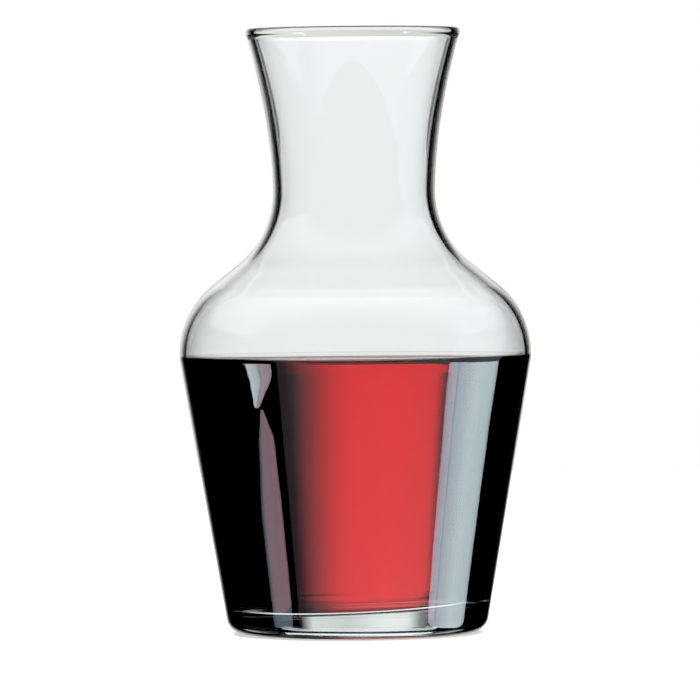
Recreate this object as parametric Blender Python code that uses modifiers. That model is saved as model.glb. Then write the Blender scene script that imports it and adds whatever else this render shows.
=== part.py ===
"""One-litre wine decanter (carafe) holding red wine.

A one-piece blown glass vessel: fire-polished rim, flared neck, round shoulder, tapered body,
thick base with a flat bearing ring. The wine stands in it as a separate solid. Metres, +Z up,
origin on the surface it stands on, at the centre of the base.
"""

import math

import bpy

MM = 0.001

# Driving dimensions of the glass
HEIGHT = 205.0 * MM
RIM_RADIUS = 36.4 * MM
BEAD_RADIUS = 1.45 * MM
FLARE_TOP_RADIUS = 35.6 * MM
FLARE_TOP_Z = 201.0 * MM
FLARE_POWER = 1.75
WAIST_RADIUS = 27.5 * MM
WAIST_Z = 149.7 * MM
NECK_FILLET = 31.0 * MM
SHOULDER_STEEPNESS = math.radians(51.0)
SHOULDER_STRAIGHT = 12.2 * MM
SHOULDER_FILLET = 30.1 * MM
WIDEST_FILLET = 12.0 * MM
BODY_TAPER = math.radians(9.7)
HEEL_FILLET = 7.5 * MM

# Thickness of the glass, measured square to its surface
RIM_WALL = 2.4 * MM
NECK_WALL = 2.7 * MM
BODY_WALL = 2.1 * MM
FLOOR_Z = 8.75 * MM
FLOOR_CORNER = 9.0 * MM
BEARING_RING_WIDTH = 3.6 * MM
PUSH_UP = 1.8 * MM

# The wine
WINE_Z = 93.8 * MM
WINE_GAP = 0.3 * MM

# Facets round the axis: a multiple of 4, so that the widest points lie on X and Y
FACETS = 44


def arc(centre_r, centre_z, radius, start, end, count):
    """Points (r, z) on a circle from angle start to angle end; angle 0 points away from the axis."""
    points = []
    for i in range(count + 1):
        angle = start + (end - start) * i / count
        points.append((centre_r + radius * math.cos(angle), centre_z + radius * math.sin(angle)))
    return points


def flare(count):
    """The neck's outer side, from under the rim bead down to the waist."""
    points = []
    for i in range(count + 1):
        rise = 1 - i / count
        radius = WAIST_RADIUS + (FLARE_TOP_RADIUS - WAIST_RADIUS) * rise**FLARE_POWER
        points.append((radius, WAIST_Z + (FLARE_TOP_Z - WAIST_Z) * rise))
    return points


def shoulder():
    """The outer side from the waist to the top of the taper: hollow arc, slope, full arc."""
    slope = SHOULDER_STEEPNESS
    hollow = arc(WAIST_RADIUS + NECK_FILLET, WAIST_Z, NECK_FILLET, math.pi, math.pi + slope, 6)
    start_r, start_z = hollow[-1]
    end_r = start_r + SHOULDER_STRAIGHT * math.sin(slope)
    end_z = start_z - SHOULDER_STRAIGHT * math.cos(slope)
    centre_r = end_r - SHOULDER_FILLET * math.cos(slope)
    centre_z = end_z - SHOULDER_FILLET * math.sin(slope)
    full = arc(centre_r, centre_z, SHOULDER_FILLET, slope, 0, 7)
    turn = arc(full[-1][0] - WIDEST_FILLET, centre_z, WIDEST_FILLET, 0, -BODY_TAPER, 2)
    return hollow[1:] + full + turn[1:]


def foot(cone_point, plane_z, fillet, count):
    """Points that turn from the taper through cone_point onto the level plane_z."""
    side = plane_z + fillet * (1 - math.sin(BODY_TAPER))
    side_r = cone_point[0] - (cone_point[1] - side) * math.tan(BODY_TAPER)
    centre_r = side_r - fillet * math.cos(BODY_TAPER)
    return arc(centre_r, plane_z + fillet, fillet, -BODY_TAPER, -math.pi / 2, count)


def blend(low, high, share):
    """A value that eases from low at share 0 to high at share 1."""
    share = min(max(share, 0.0), 1.0)
    return low + (high - low) * share * share * (3 - 2 * share)


def wall(z, widest_z):
    """Thickness of the glass at the height z."""
    if z > WAIST_Z:
        return blend(NECK_WALL, RIM_WALL, (z - WAIST_Z) / (FLARE_TOP_Z - WAIST_Z))
    return blend(BODY_WALL, NECK_WALL, (z - widest_z) / (WAIST_Z - widest_z))


def offset(points, distance_at):
    """The points moved towards the axis, square to their line, by distance_at(z)."""
    moved = []
    for i, (radius, z) in enumerate(points):
        before = points[max(i - 1, 0)]
        after = points[min(i + 1, len(points) - 1)]
        run, drop = after[0] - before[0], before[1] - after[1]
        length = math.hypot(run, drop)
        distance = distance_at(z)
        moved.append((radius - distance * drop / length, z - distance * run / length))
    return moved


def outer_side():
    """The outside from under the bead down to the top of the taper."""
    return flare(10) + shoulder()


def inner_side():
    """The inside that runs beside outer_side."""
    outer = outer_side()
    widest_z = outer[-1][1]
    return offset(outer, lambda z: wall(z, widest_z))


def glass_profile():
    """The closed section of the glass: up the inside, over the rim, down the outside, under."""
    outer, inner = outer_side(), inner_side()
    corner = foot(inner[-1], FLOOR_Z, FLOOR_CORNER, 5)
    heel = foot(outer[-1], 0.0, HEEL_FILLET, 5)
    bead_r, bead_z = RIM_RADIUS - BEAD_RADIUS, HEIGHT - BEAD_RADIUS
    bead = arc(bead_r, bead_z, BEAD_RADIUS, math.radians(210), math.radians(-30), 8)
    ring_inner = heel[-1][0] - BEARING_RING_WIDTH
    under = []
    for share in (1.0, 0.75, 0.5, 0.25, 0.0):
        under.append((ring_inner * share, PUSH_UP * (1 - share * share)))
    return [(0.0, FLOOR_Z)] + corner[::-1] + inner[::-1] + bead + outer + heel + under


def wine_profile():
    """The section of the wine, from its level top down along the glass to the middle of the floor."""
    inner = inner_side()
    corner = foot(inner[-1], FLOOR_Z, FLOOR_CORNER, 5)
    skin = offset(inner + corner, lambda z: WINE_GAP)
    below = [point for point in skin if point[1] < WINE_Z - 1 * MM]
    above = [point for point in skin if point[1] >= WINE_Z - 1 * MM][-1]
    first = below[0]
    share = (WINE_Z - first[1]) / (above[1] - first[1])
    edge_r = first[0] + (above[0] - first[0]) * share
    return [(0.0, WINE_Z), (edge_r, WINE_Z)] + below + [(0.0, below[-1][1])]


def material(name, colour, transmission, ior):
    """A clear, smooth Principled material."""
    made = bpy.data.materials.new(name)
    made.use_nodes = True
    shader = made.node_tree.nodes["Principled BSDF"]
    shader.inputs["Base Color"].default_value = (*colour, 1.0)
    shader.inputs["Roughness"].default_value = 0.02
    shader.inputs["Metallic"].default_value = 0.0
    shader.inputs["Transmission Weight"].default_value = transmission
    shader.inputs["IOR"].default_value = ior
    return made


def turned(name, profile, finish, collection):
    """A solid of revolution about Z from a profile that runs down its outer side."""
    mesh = bpy.data.meshes.new(name)
    edges = [(i, i + 1) for i in range(len(profile) - 1)]
    mesh.from_pydata([(radius, 0.0, z) for radius, z in profile], edges, [])
    piece = bpy.data.objects.new(name, mesh)
    collection.objects.link(piece)
    mesh.materials.append(finish)
    screw = piece.modifiers.new("Turn", "SCREW")
    screw.axis = "Z"
    screw.steps = FACETS
    screw.render_steps = FACETS
    screw.use_merge_vertices = True
    screw.merge_threshold = 0.00001
    screw.use_smooth_shade = True
    return piece


def build():
    for old in list(bpy.data.objects):
        bpy.data.objects.remove(old, do_unlink=True)
    collection = bpy.data.collections.new("wine_decanter")
    bpy.context.scene.collection.children.link(collection)
    glass = material("clear_glass", (0.93, 0.95, 0.945), 1.0, 1.52)
    wine = material("red_wine", (0.30, 0.01, 0.02), 0.8, 1.34)
    turned("glass_carafe", glass_profile(), glass, collection)
    turned("red_wine", wine_profile(), wine, collection)


build()
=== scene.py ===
"""Looks for the wine decanter: fine glass and wine meshes, their materials, a light rig, the camera.

Every size is in metres, in the frame's axes: +Z up, the decanter standing on z = 0 on the axis.
"""

import math

import bpy
from mathutils import Matrix, Vector


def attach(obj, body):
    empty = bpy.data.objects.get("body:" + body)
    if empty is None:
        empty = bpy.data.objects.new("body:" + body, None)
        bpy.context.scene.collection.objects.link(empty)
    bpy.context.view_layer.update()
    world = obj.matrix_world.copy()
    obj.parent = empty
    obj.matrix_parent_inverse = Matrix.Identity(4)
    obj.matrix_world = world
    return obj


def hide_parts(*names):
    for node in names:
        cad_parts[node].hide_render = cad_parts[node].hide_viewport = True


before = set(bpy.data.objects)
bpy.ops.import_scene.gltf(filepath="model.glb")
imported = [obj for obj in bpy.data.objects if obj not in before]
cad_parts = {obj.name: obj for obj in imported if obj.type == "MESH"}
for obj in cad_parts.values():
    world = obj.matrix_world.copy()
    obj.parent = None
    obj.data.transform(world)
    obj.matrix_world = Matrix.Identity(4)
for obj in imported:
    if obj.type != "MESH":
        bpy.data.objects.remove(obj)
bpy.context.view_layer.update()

MM = 0.001

# The glass outline, as in the CAD model but for the heel, which is tighter
HEIGHT = 205.0 * MM
RIM_RADIUS = 36.4 * MM
BEAD_RADIUS = 1.45 * MM
FLARE_TOP_RADIUS = 35.6 * MM
FLARE_TOP_Z = 201.0 * MM
FLARE_POWER = 1.75
WAIST_RADIUS = 27.5 * MM
WAIST_Z = 149.7 * MM
NECK_FILLET = 31.0 * MM
SHOULDER_STEEPNESS = math.radians(51.0)
SHOULDER_STRAIGHT = 12.2 * MM
SHOULDER_FILLET = 30.1 * MM
WIDEST_FILLET = 12.0 * MM
BODY_TAPER = math.radians(9.7)
HEEL_FILLET = 6.0 * MM
RIM_WALL = 2.4 * MM
NECK_WALL = 2.7 * MM
BODY_WALL = 2.1 * MM
FLOOR_Z = 8.75 * MM
FLOOR_CORNER = 9.0 * MM
BEARING_RING_WIDTH = 3.6 * MM
PUSH_UP = 1.8 * MM

# The wine's surface: it climbs the glass in a meniscus
WINE_Z = 92.2 * MM
MENISCUS_RISE = 2.0 * MM
MENISCUS_REACH = 1.5 * MM
WETTING = 0.05 * MM

# The blown floor of the glass isn't quite level: it rises this much for each metre along +X, and
# the tilt fades out up the wall by TILT_TOP
FLOOR_TILT = 0.038
TILT_TOP = 3 * FLOOR_Z

# Where wine wets glass, hardly any light is mirrored
WETTED_SHINE = 0.08

# What each absorbs in a metre is 1 less its tint, times its density
GLASS_TINT = (0.92, 0.975, 0.965)
GLASS_DENSITY = 20.0
GLASS_IOR = 1.52
WINE_TINT = (0.942, 0.048, 0.06)
WINE_DENSITY = 41.0
WINE_IOR = 1.34

# Haze sets in where the noise passes the first and is full at the second
HAZE_FROM = 0.58
HAZE_TO = 0.80

# How near the inside of the glass a point is when it counts as on it, and how far above the floor
# the wetted faces begin
INSIDE_REACH = 0.5 * MM

SEGMENTS = 208


def arc(centre_r, centre_z, radius, start, end, count):
    """Points (r, z) on a circle from angle start to angle end; angle 0 points away from the axis."""
    points = []
    for i in range(count + 1):
        angle = start + (end - start) * i / count
        points.append((centre_r + radius * math.cos(angle), centre_z + radius * math.sin(angle)))
    return points


def flare(count):
    """The neck's outer side, from under the rim bead down to the waist."""
    points = []
    for i in range(count + 1):
        rise = 1 - i / count
        radius = WAIST_RADIUS + (FLARE_TOP_RADIUS - WAIST_RADIUS) * rise**FLARE_POWER
        points.append((radius, WAIST_Z + (FLARE_TOP_Z - WAIST_Z) * rise))
    return points


def shoulder():
    """The outer side from the waist to the top of the taper: hollow arc, slope, full arc."""
    slope = SHOULDER_STEEPNESS
    hollow = arc(WAIST_RADIUS + NECK_FILLET, WAIST_Z, NECK_FILLET, math.pi, math.pi + slope, 30)
    start_r, start_z = hollow[-1]
    straight = []
    for i in range(1, 8):
        step = SHOULDER_STRAIGHT * i / 8
        straight.append((start_r + step * math.sin(slope), start_z - step * math.cos(slope)))
    end_r = start_r + SHOULDER_STRAIGHT * math.sin(slope)
    end_z = start_z - SHOULDER_STRAIGHT * math.cos(slope)
    centre_r = end_r - SHOULDER_FILLET * math.cos(slope)
    centre_z = end_z - SHOULDER_FILLET * math.sin(slope)
    full = arc(centre_r, centre_z, SHOULDER_FILLET, slope, 0, 34)
    turn = arc(full[-1][0] - WIDEST_FILLET, centre_z, WIDEST_FILLET, 0, -BODY_TAPER, 8)
    return hollow[1:] + straight + full + turn[1:]


def taper(top, foot_point, count):
    """Points strictly between the top of the tapered side and its foot."""
    points = []
    for i in range(1, count):
        share = i / count
        points.append(tuple(a + (b - a) * share for a, b in zip(top, foot_point)))
    return points


def foot(cone_point, plane_z, fillet, count):
    """Points that turn from the taper through cone_point onto the level plane_z."""
    side = plane_z + fillet * (1 - math.sin(BODY_TAPER))
    side_r = cone_point[0] - (cone_point[1] - side) * math.tan(BODY_TAPER)
    centre_r = side_r - fillet * math.cos(BODY_TAPER)
    return arc(centre_r, plane_z + fillet, fillet, -BODY_TAPER, -math.pi / 2, count)


def blend(low, high, share):
    """A value that eases from low at share 0 to high at share 1."""
    share = min(max(share, 0.0), 1.0)
    return low + (high - low) * share * share * (3 - 2 * share)


def wall(z, widest_z):
    """Thickness of the glass at the height z."""
    if z > WAIST_Z:
        return blend(NECK_WALL, RIM_WALL, (z - WAIST_Z) / (FLARE_TOP_Z - WAIST_Z))
    return blend(BODY_WALL, NECK_WALL, (z - widest_z) / (WAIST_Z - widest_z))


def offset(points, distance_at):
    """The points moved towards the axis, square to their line, by distance_at(z)."""
    moved = []
    for i, (radius, z) in enumerate(points):
        before = points[max(i - 1, 0)]
        after = points[min(i + 1, len(points) - 1)]
        run, drop = after[0] - before[0], before[1] - after[1]
        length = math.hypot(run, drop)
        distance = distance_at(z)
        moved.append((radius - distance * drop / length, z - distance * run / length))
    return moved


def outer_side():
    """The outside from under the bead down to the top of the taper."""
    return flare(60) + shoulder()


def inner_side():
    """The inside that runs beside outer_side."""
    outer = outer_side()
    widest_z = outer[-1][1]
    return offset(outer, lambda z: wall(z, widest_z))


def inner_wall():
    """The whole inside from under the rim down to the edge of the floor."""
    side = inner_side()
    corner = foot(side[-1], FLOOR_Z, FLOOR_CORNER, 16)
    return side + taper(side[-1], corner[0], 50) + corner


def glass_profile():
    """The closed section of the glass: up the inside, over the rim, down the outside, under."""
    outer, inner = outer_side(), inner_wall()
    heel = foot(outer[-1], 0.0, HEEL_FILLET, 16)
    outside = outer + taper(outer[-1], heel[0], 50) + heel
    bead_r, bead_z = RIM_RADIUS - BEAD_RADIUS, HEIGHT - BEAD_RADIUS
    bead = arc(bead_r, bead_z, BEAD_RADIUS, math.radians(210), math.radians(-30), 24)
    floor_edge = inner[-1][0]
    floor = [(floor_edge * i / 10, FLOOR_Z) for i in range(10)]
    ring_inner = outside[-1][0] - BEARING_RING_WIDTH
    under = []
    for i in range(12, -1, -1):
        share = i / 12
        under.append((ring_inner * share, PUSH_UP * (1 - share * share)))
    return floor + inner[::-1] + bead + outside + under


def wine_profile():
    """The section of the wine: its surface from the axis out, up the meniscus, down to the floor."""
    skin = offset(inner_wall(), lambda z: -WETTING)
    line_z = WINE_Z + MENISCUS_RISE
    below = [point for point in skin if point[1] < line_z]
    above = [point for point in skin if point[1] >= line_z][-1]
    share = (line_z - below[0][1]) / (above[1] - below[0][1])
    edge_r = below[0][0] + (above[0] - below[0][0]) * share
    surface = []
    for i in range(40):
        radius = edge_r * (1 - (1 - i / 40) ** 3)
        climb = MENISCUS_RISE * math.exp(-(edge_r - radius) / MENISCUS_REACH)
        surface.append((radius, WINE_Z + climb))
    floor_edge, floor_z = below[-1]
    floor = [(floor_edge * i / 10, floor_z) for i in range(9, -1, -1)]
    return surface + [(edge_r, line_z)] + below + floor


def unlevel(x, z):
    """The height of a point of the floor after the floor's slight tilt, which fades out upwards."""
    share = min(max((TILT_TOP - z) / (TILT_TOP - FLOOR_Z), 0.0), 1.0)
    return z + FLOOR_TILT * x * share


def turned(name, profile, is_floor, is_wetted):
    """A solid of revolution about Z. Points that is_floor picks follow the floor's tilt, and
    faces between two points that is_wetted picks mirror little light."""
    vertices, rings = [], []
    for radius, z in profile:
        count = 1 if radius < 1e-7 else SEGMENTS
        rings.append((len(vertices), count))
        for k in range(count):
            angle = 2 * math.pi * k / SEGMENTS
            x, y = radius * math.cos(angle), radius * math.sin(angle)
            vertices.append((x, y, unlevel(x, z) if is_floor(radius, z) else z))
    faces, mirrored = [], []
    for i, ((first, count), (second, other)) in enumerate(zip(rings, rings[1:])):
        wetted = is_wetted(*profile[i]) and is_wetted(*profile[i + 1])
        for k in range(SEGMENTS):
            mirrored.append(WETTED_SHINE if wetted else 1.0)
            n = (k + 1) % SEGMENTS
            if count == 1:
                faces.append((first, second + k, second + n))
            elif other == 1:
                faces.append((first + n, first + k, second))
            else:
                faces.append((first + n, first + k, second + k, second + n))
    mesh = bpy.data.meshes.new(name)
    mesh.from_pydata(vertices, [], faces)
    mesh.attributes.new("mirrored", "FLOAT", "FACE").data.foreach_set("value", mirrored)
    mesh.shade_smooth()
    piece = bpy.data.objects.new(name, mesh)
    bpy.context.scene.collection.objects.link(piece)
    return piece


def noise(nodes, links, scale, detail):
    """A noise texture in the piece's own metres; scale is in bumps a metre."""
    place = nodes.new("ShaderNodeTexCoord")
    made = nodes.new("ShaderNodeTexNoise")
    made.inputs["Scale"].default_value = scale
    made.inputs["Detail"].default_value = detail
    links.new(place.outputs["Object"], made.inputs["Vector"])
    return made


def clear_material(name, ior, density, colour, wave_scale, wave_height, haze):
    """A clear material that absorbs light by its depth. Its surface has slow waves of about
    wave_height, and its smooth finish hazes to the roughness haze in patches."""
    made = bpy.data.materials.new(name)
    made.use_nodes = True
    nodes, links = made.node_tree.nodes, made.node_tree.links
    shader = nodes["Principled BSDF"]
    shader.inputs["Base Color"].default_value = (1, 1, 1, 1)
    shader.inputs["Transmission Weight"].default_value = 1.0
    shader.inputs["IOR"].default_value = ior
    mirrored = nodes.new("ShaderNodeAttribute")
    mirrored.attribute_name = "mirrored"
    links.new(mirrored.outputs["Fac"], shader.inputs["Specular Tint"])

    waves = nodes.new("ShaderNodeBump")
    waves.inputs["Distance"].default_value = wave_height
    links.new(noise(nodes, links, wave_scale, 1.0).outputs["Fac"], waves.inputs["Height"])
    links.new(waves.outputs["Normal"], shader.inputs["Normal"])

    patches = nodes.new("ShaderNodeMapRange")
    patches.inputs["From Min"].default_value = HAZE_FROM
    patches.inputs["From Max"].default_value = HAZE_TO
    patches.inputs["To Max"].default_value = haze
    links.new(noise(nodes, links, 4 * wave_scale, 4.0).outputs["Fac"], patches.inputs["Value"])
    links.new(patches.outputs["Result"], shader.inputs["Roughness"])

    depth = nodes.new("ShaderNodeVolumeAbsorption")
    depth.inputs["Density"].default_value = density
    depth.inputs["Color"].default_value = (*colour, 1)
    links.new(depth.outputs["Volume"], nodes["Material Output"].inputs["Volume"])
    return made


def make_glass():
    """The glass as one turned solid, in place of the CAD node."""
    inside = inner_wall()

    def inner_radius(z):
        return min(inside, key=lambda point: abs(point[1] - z))[0]

    def on_inside(radius, z):
        return z > 0.6 * FLOOR_Z and radius <= inner_radius(z) + INSIDE_REACH

    def is_floor(radius, z):
        return z < TILT_TOP and on_inside(radius, z)

    def is_wetted(radius, z):
        return FLOOR_Z + INSIDE_REACH < z < WINE_Z + MENISCUS_RISE and on_inside(radius, z)

    piece = turned("glass_carafe_fine", glass_profile(), is_floor, is_wetted)
    material = clear_material(
        "clear_glass", GLASS_IOR, GLASS_DENSITY, GLASS_TINT,
        wave_scale=32.0, wave_height=0.08 * MM, haze=0.012,
    )
    piece.data.materials.append(material)
    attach(piece, "root")
    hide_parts("glass_carafe")
    return piece


def make_wine():
    """The wine as one turned solid, in place of the CAD node."""
    line_z = WINE_Z + MENISCUS_RISE
    edge = min(inner_wall(), key=lambda point: abs(point[1] - line_z))[0]

    def is_wetted(radius, z):
        return FLOOR_Z + INSIDE_REACH < z < WINE_Z - MENISCUS_RISE or radius > edge - 0.1 * MM

    piece = turned("red_wine_fine", wine_profile(), lambda radius, z: z < TILT_TOP, is_wetted)
    material = clear_material(
        "red_wine", WINE_IOR, WINE_DENSITY, WINE_TINT,
        wave_scale=24.0, wave_height=0.03 * MM, haze=0.004,
    )
    piece.data.materials.append(material)
    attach(piece, "root")
    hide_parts("red_wine")
    return piece


# The camera, and the light rig that turns with it
CAMERA_DISTANCE = 2.40
EYE_HEIGHT = 0.155
AIM = Vector((-0.0018, 0.0, 0.09585))
LENS = 364.0
ROLL = math.radians(-0.5)


def make_camera():
    """A long lens level with the waist of the neck, turned by ROLL about its own axis."""
    data = bpy.data.cameras.new("camera")
    data.lens = LENS
    data.sensor_width = 36.0
    camera = bpy.data.objects.new("camera", data)
    bpy.context.scene.collection.objects.link(camera)
    camera.location = (0.0, -CAMERA_DISTANCE, EYE_HEIGHT)
    look = (AIM - camera.location).to_track_quat("-Z", "Y").to_matrix().to_4x4()
    roll = Matrix.Rotation(ROLL, 4, "Z")
    camera.matrix_world = Matrix.Translation(camera.location) @ look @ roll
    bpy.context.scene.camera = camera
    return camera


def make_turntable(camera):
    """An empty at the decanter's middle whose -Y side always faces the camera, so that the lights
    turn and tilt with it, as if the decanter stood on a turntable."""
    empty = bpy.data.objects.new("turntable", None)
    bpy.context.scene.collection.objects.link(empty)
    empty.location = (0, 0, HEIGHT / 2)
    turn = empty.constraints.new("TRACK_TO")
    turn.target = camera
    turn.track_axis = "TRACK_NEGATIVE_Y"
    turn.up_axis = "UP_Z"
    return empty


RIBBON_COLUMNS = 24


def ribbon(name, rig, rows, stops, strength, kinds):
    """An emissive sheet between two edges. Each row is a point on one edge and a point on the
    other, from the middle of the decanter's base. stops are (share of the way across, colour).
    kinds says whether reflected light shows it, refracted light, or both."""
    points, across, faces = [], [], []
    for first, second in rows:
        for i in range(RIBBON_COLUMNS + 1):
            share = i / RIBBON_COLUMNS
            x, y, z = (a + (b - a) * share for a, b in zip(first, second))
            points.append((x, y, z - HEIGHT / 2))
            across.append(share)
    width = RIBBON_COLUMNS + 1
    for j in range(len(rows) - 1):
        for i in range(RIBBON_COLUMNS):
            start = j * width + i
            faces.append((start, start + 1, start + width + 1, start + width))
    mesh = bpy.data.meshes.new(name)
    mesh.from_pydata(points, [], faces)
    mesh.attributes.new("across", "FLOAT", "POINT").data.foreach_set("value", across)
    mesh.materials.append(glow_material(name, stops, strength))
    sheet = bpy.data.objects.new(name, mesh)
    bpy.context.scene.collection.objects.link(sheet)
    sheet.parent = rig
    sheet.visible_camera = False
    sheet.visible_diffuse = False
    sheet.visible_glossy = "reflected" in kinds
    sheet.visible_transmission = "refracted" in kinds
    return sheet


def glow_material(name, stops, strength):
    """Light whose colour follows stops across a ribbon."""
    made = bpy.data.materials.new(name)
    made.use_nodes = True
    nodes, links = made.node_tree.nodes, made.node_tree.links
    nodes.clear()
    place = nodes.new("ShaderNodeAttribute")
    place.attribute_name = "across"
    ramp = nodes.new("ShaderNodeValToRGB")
    elements = ramp.color_ramp.elements
    while len(elements) < len(stops):
        elements.new(0.5)
    for element, (share, colour) in zip(elements, stops):
        element.position = share
        element.color = (*colour, 1)
    glow = nodes.new("ShaderNodeEmission")
    glow.inputs["Strength"].default_value = strength
    out = nodes.new("ShaderNodeOutputMaterial")
    links.new(place.outputs["Fac"], ramp.inputs["Fac"])
    links.new(ramp.outputs["Color"], glow.inputs["Color"])
    links.new(glow.outputs["Emission"], out.inputs["Surface"])
    return made


def only_through(sheet, fewest, most):
    """Lights a ribbon only for rays that have passed fewest to most clear surfaces, and lets every
    ray go on through it to what is behind."""
    nodes, links = sheet.data.materials[0].node_tree.nodes, sheet.data.materials[0].node_tree.links
    strength = nodes["Emission"].inputs["Strength"]
    path = nodes.new("ShaderNodeLightPath")
    counted = nodes.new("ShaderNodeMath")
    counted.operation = "COMPARE"
    counted.inputs[1].default_value = (fewest + most) / 2
    counted.inputs[2].default_value = (most - fewest) / 2 + 0.5
    lit = nodes.new("ShaderNodeMath")
    lit.operation = "MULTIPLY"
    lit.inputs[1].default_value = strength.default_value
    both = nodes.new("ShaderNodeAddShader")
    clear = nodes.new("ShaderNodeBsdfTransparent")
    links.new(path.outputs["Transmission Depth"], counted.inputs[0])
    links.new(counted.outputs["Value"], lit.inputs[0])
    links.new(lit.outputs["Value"], strength)
    links.new(nodes["Emission"].outputs["Emission"], both.inputs[0])
    links.new(clear.outputs["BSDF"], both.inputs[1])
    links.new(both.outputs["Shader"], nodes["Material Output"].inputs["Surface"])


# The backdrop light stands this far behind the decanter. Each list is (x or z, brightness) across
# it, in metres. Light through the wine sees it end sooner on the left and fade out on the right.
BACKDROP_DISTANCE = 6.0
PANEL_GAP = 0.01
WINE_LEVELS = (
    (-1.92, 0.0), (-1.62, 0.80), (-1.40, 0.90), (-0.65, 1.0), (0.05, 0.94), (0.31, 0.76),
    (0.77, 0.26), (1.03, 0.07), (1.20, 0.0),
)
BASE_LEVELS = (
    (-2.75, 0.0), (-2.15, 0.25), (-1.65, 0.95), (-0.85, 1.0), (0.20, 0.72), (1.45, 0.80), (1.90, 0.0),
)
SHOULDER_LEVELS = ((0.05, 1.0), (0.40, 1.01), (0.80, 1.16), (1.50, 1.25), (4.0, 1.25))
SHOULDER_HALF = 2.9
# The neck's backdrop is the same on both sides: bright, a dark gap, then a thin bright edge
NECK_HALF = ((1.45, 1.0), (1.73, 0.05), (2.25, 0.03), (2.35, 0.7), (2.55, 0.7), (2.65, 0.0))
NECK_TOP = 0.05

# Each row is a height on the backdrop, and how far its left and its right end are moved there
PLAIN_ENDS = ((-4.0, 0.0, 0.0), (4.0, 0.0, 0.0))
NECK_ENDS = ((-4.0, 0.0, 0.0), (NECK_TOP, 0.0, 0.0))
WINE_ENDS = (
    (-4.0, 0.13, 0.20), (0.0, 0.13, 0.20), (0.08, 0.13, -0.09), (0.34, 0.13, -0.09),
    (0.45, -0.05, 0.25), (0.80, 0.15, -0.07), (4.0, 0.30, -0.10),
)

WINE_LIGHT = (1.0, 1.0, 1.0)
CLEAR_LIGHT = (0.97, 1.0, 1.01)
BASE_LIGHT = (1.0, 1.0, 0.97)


def tinted(levels, tint):
    """Stops for a ribbon from (place, brightness) pairs."""
    start, end = levels[0][0], levels[-1][0]
    stops = []
    for place, level in levels:
        stops.append(((place - start) / (end - start), tuple(level * part for part in tint)))
    return stops


def make_backdrop(rig):
    """Light passes 5 clear surfaces or more on its way through the wine, 4 through both walls of
    the empty part, and 2 through the thick base, and each has its own layer of the backdrop."""
    neck_levels = [(-x, level) for x, level in NECK_HALF[::-1]] + list(NECK_HALF)
    far = BACKDROP_DISTANCE
    for name, levels, ends, tint, strength, fewest, most in (
        ("backdrop_for_wine", WINE_LEVELS, WINE_ENDS, WINE_LIGHT, 0.98, 5, 99),
        ("backdrop_for_neck", neck_levels, NECK_ENDS, CLEAR_LIGHT, 1.01, 3, 4),
        ("backdrop_for_base", BASE_LEVELS, PLAIN_ENDS, BASE_LIGHT, 0.94, 0, 2),
    ):
        left, right = levels[0][0], levels[-1][0]
        rows = [((left + a, far, z), (right + b, far, z)) for z, a, b in ends]
        sheet = ribbon(name, rig, rows, tinted(levels, tint), strength, "reflected refracted")
        only_through(sheet, fewest, most)
        far += PANEL_GAP
    bottom, top = SHOULDER_LEVELS[0][0], SHOULDER_LEVELS[-1][0]
    rows = [((x, far, bottom), (x, far, top)) for x in (-SHOULDER_HALF, SHOULDER_HALF)]
    stops = tinted(SHOULDER_LEVELS, CLEAR_LIGHT)
    only_through(ribbon("backdrop_for_shoulder", rig, rows, stops, 1.01, "reflected refracted"), 3, 4)


# The strip lights stand this far to each side. A row of a strip is y of its left edge and of its
# right edge as the camera sees it, then z of each, down or up the strip.
SIDE = 0.27
RIGHT_TOP_EDGE = (-0.155, 0.051, 0.014, 0.045)
RIGHT_EDGES = (RIGHT_TOP_EDGE, (-0.158, 0.046, -0.015, 0.017), (-0.149, 0.058, -0.088, -0.057),
               (-0.060, 0.120, -0.200, -0.200))
RIGHT_UPPER_EDGES = (RIGHT_TOP_EDGE, (-0.150, 0.060, 0.110, 0.110), (-0.040, 0.210, 0.340, 0.250))
LEFT_UPPER_EDGES = ((-0.080, -0.196, 0.032, 0.004), (-0.100, -0.196, 0.011, -0.010),
                    (-0.105, -0.122, 0.000, -0.004))
LEFT_BOTTOM_EDGE = (-0.070, -0.178, -0.074, -0.098)
LEFT_EDGES = ((-0.128, -0.140, -0.006, -0.009), (-0.106, -0.176, -0.013, -0.029),
              (-0.078, -0.179, -0.036, -0.057), LEFT_BOTTOM_EDGE)
LEFT_FOOT_EDGES = (LEFT_BOTTOM_EDGE, (-0.040, -0.150, -0.160, -0.180))

# The strips' colours from their left edge to their right
RIGHT_STOPS = (
    (0.0, (0.60, 0.38, 0.46)), (0.04, (0.90, 0.70, 0.84)), (0.18, (0.82, 0.92, 1.06)),
    (0.205, (0.60, 0.64, 0.76)), (0.23, (0.81, 0.90, 1.03)), (0.58, (0.94, 1.12, 1.16)),
    (0.90, (0.65, 0.80, 0.85)), (1.0, (0.40, 0.48, 0.51)),
)
LEFT_UPPER_STOPS = (
    (0.0, (0.80, 0.92, 1.05)), (0.06, (1.50, 1.70, 1.85)), (0.40, (1.25, 1.35, 1.45)),
    (0.50, (0.75, 0.70, 0.82)), (0.58, (1.05, 0.90, 1.05)), (1.0, (0.90, 0.68, 0.80)),
)
LEFT_STOPS = (
    (0.0, (0.30, 0.42, 0.55)), (0.18, (1.40, 1.02, 1.20)), (0.90, (1.70, 1.02, 1.20)),
    (1.0, (1.0, 0.60, 0.74)),
)
LEFT_FOOT_STOPS = (
    (0.0, (0.3, 0.4, 0.5)), (0.15, (0.80, 1.05, 1.25)), (0.9, (0.80, 1.05, 1.25)), (1.0, (0.4, 0.5, 0.6)),
)


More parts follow.
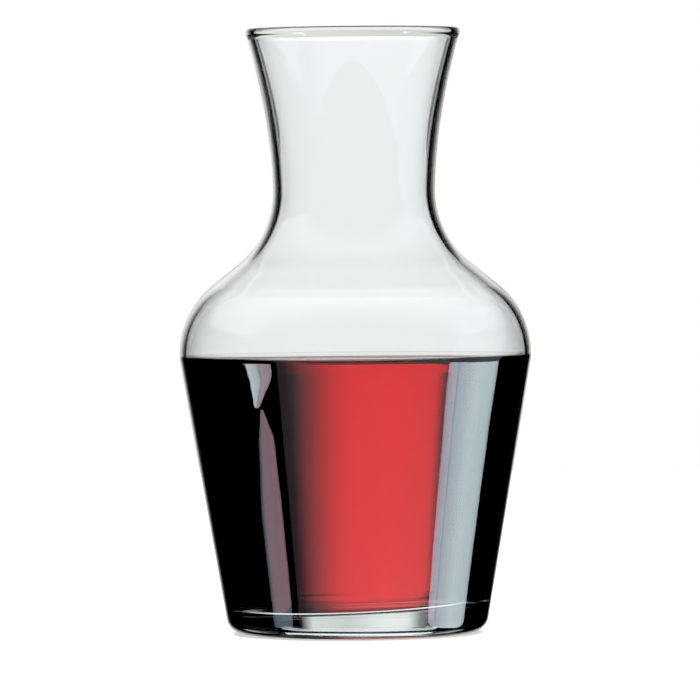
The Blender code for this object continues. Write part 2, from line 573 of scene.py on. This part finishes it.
def make_strips(rig):
    """The tall lights on both sides. Only mirrored light shows them, never light through the glass."""
    for name, x, edges, stops, strength in (
        ("right_strip", SIDE, RIGHT_EDGES, RIGHT_STOPS, 9.0),
        ("right_strip_upper", SIDE, RIGHT_UPPER_EDGES, RIGHT_STOPS, 0.9),
        ("left_strip_upper", -SIDE, LEFT_UPPER_EDGES, LEFT_UPPER_STOPS, 6.2),
        ("left_strip", -SIDE, LEFT_EDGES, LEFT_STOPS, 2.65),
        ("left_strip_foot", -SIDE, LEFT_FOOT_EDGES, LEFT_FOOT_STOPS, 2.1),
    ):
        rows = [((x, y_left, z_left), (x, y_right, z_right)) for y_left, y_right, z_left, z_right in edges]
        ribbon(name, rig, rows, stops, strength, "reflected")


FILL_STOPS = (
    (0.0, (0.42, 0.29, 0.35)), (0.07, (0.54, 0.40, 0.46)), (0.18, (1.0, 0.92, 1.0)),
    (0.29, (0.90, 0.92, 0.98)), (1.0, (0.90, 0.92, 0.98)),
)
OVERHEAD_STOPS = (
    (0.0, (0, 0, 0)), (0.12, (0.16, 0.16, 0.16)), (0.25, (0.68, 0.70, 0.70)), (0.36, (0.97, 1.0, 1.0)),
    (0.80, (0.97, 1.0, 1.0)), (1.0, (0, 0, 0)),
)


def make_fill(rig):
    """A low glow in front, and a wide soft light overhead that shows in the wine's surface and
    through the clear glass."""
    rows = [((-0.52, -0.4, z), (0.85, -0.4, z)) for z in (-0.5, 0.0)]
    ribbon("front_fill", rig, rows, FILL_STOPS, 1.0, "reflected")
    rows = [((x, -1.6, 1.5), (x, 2.4, 1.5)) for x in (-3.5, 3.5)]
    only_through(ribbon("soft_overhead", rig, rows, OVERHEAD_STOPS, 0.62, "reflected refracted"), 0, 4)


def make_overhead():
    """The lamp that lights the floor and casts the shadow."""
    data = bpy.data.lights.new("overhead", "AREA")
    data.shape = "SQUARE"
    data.size = 3.0
    data.energy = 75.0
    lamp = bpy.data.objects.new("overhead", data)
    bpy.context.scene.collection.objects.link(lamp)
    lamp.location = (0, 0, 1.6)
    lamp.visible_glossy = False
    lamp.visible_transmission = False


FLOOR_HALF = 1.3
FLOOR_GAP = 0.2 * MM


def make_floor():
    """A pale floor that takes the decanter's shadow and isn't mirrored or seen through the glass."""
    mesh = bpy.data.meshes.new("floor")
    corners = [(x * FLOOR_HALF, y * FLOOR_HALF, -FLOOR_GAP) for x, y in ((-1, -1), (1, -1), (1, 1), (-1, 1))]
    mesh.from_pydata(corners, [], [(0, 1, 2, 3)])
    floor = bpy.data.objects.new("floor", mesh)
    bpy.context.scene.collection.objects.link(floor)
    made = bpy.data.materials.new("pale_floor")
    made.use_nodes = True
    shader = made.node_tree.nodes["Principled BSDF"]
    shader.inputs["Base Color"].default_value = (0.85, 0.85, 0.85, 1)
    shader.inputs["Roughness"].default_value = 0.9
    shader.inputs["Specular IOR Level"].default_value = 0.0
    shader.inputs["Emission Color"].default_value = (1, 1, 1, 1)
    shader.inputs["Emission Strength"].default_value = 0.6
    mesh.materials.append(made)
    floor.visible_glossy = False
    floor.visible_transmission = False


def make_world():
    """White where the camera sees it, black for the light that the glass bends in from the sides."""
    world = bpy.data.worlds.new("studio")
    bpy.context.scene.world = world
    world.use_nodes = True
    nodes, links = world.node_tree.nodes, world.node_tree.links
    back = nodes["Background"]
    path = nodes.new("ShaderNodeLightPath")
    back.inputs["Color"].default_value = (1, 1, 1, 1)
    links.new(path.outputs["Is Camera Ray"], back.inputs["Strength"])


make_glass()
make_wine()
camera = make_camera()
rig = make_turntable(camera)
make_backdrop(rig)
make_strips(rig)
make_fill(rig)
make_overhead()
make_floor()
make_world()

scene = bpy.context.scene
scene.view_settings.view_transform = "Standard"
scene.cycles.max_bounces = 24
scene.cycles.transmission_bounces = 24
scene.cycles.glossy_bounces = 8
scene.cycles.transparent_max_bounces = 16
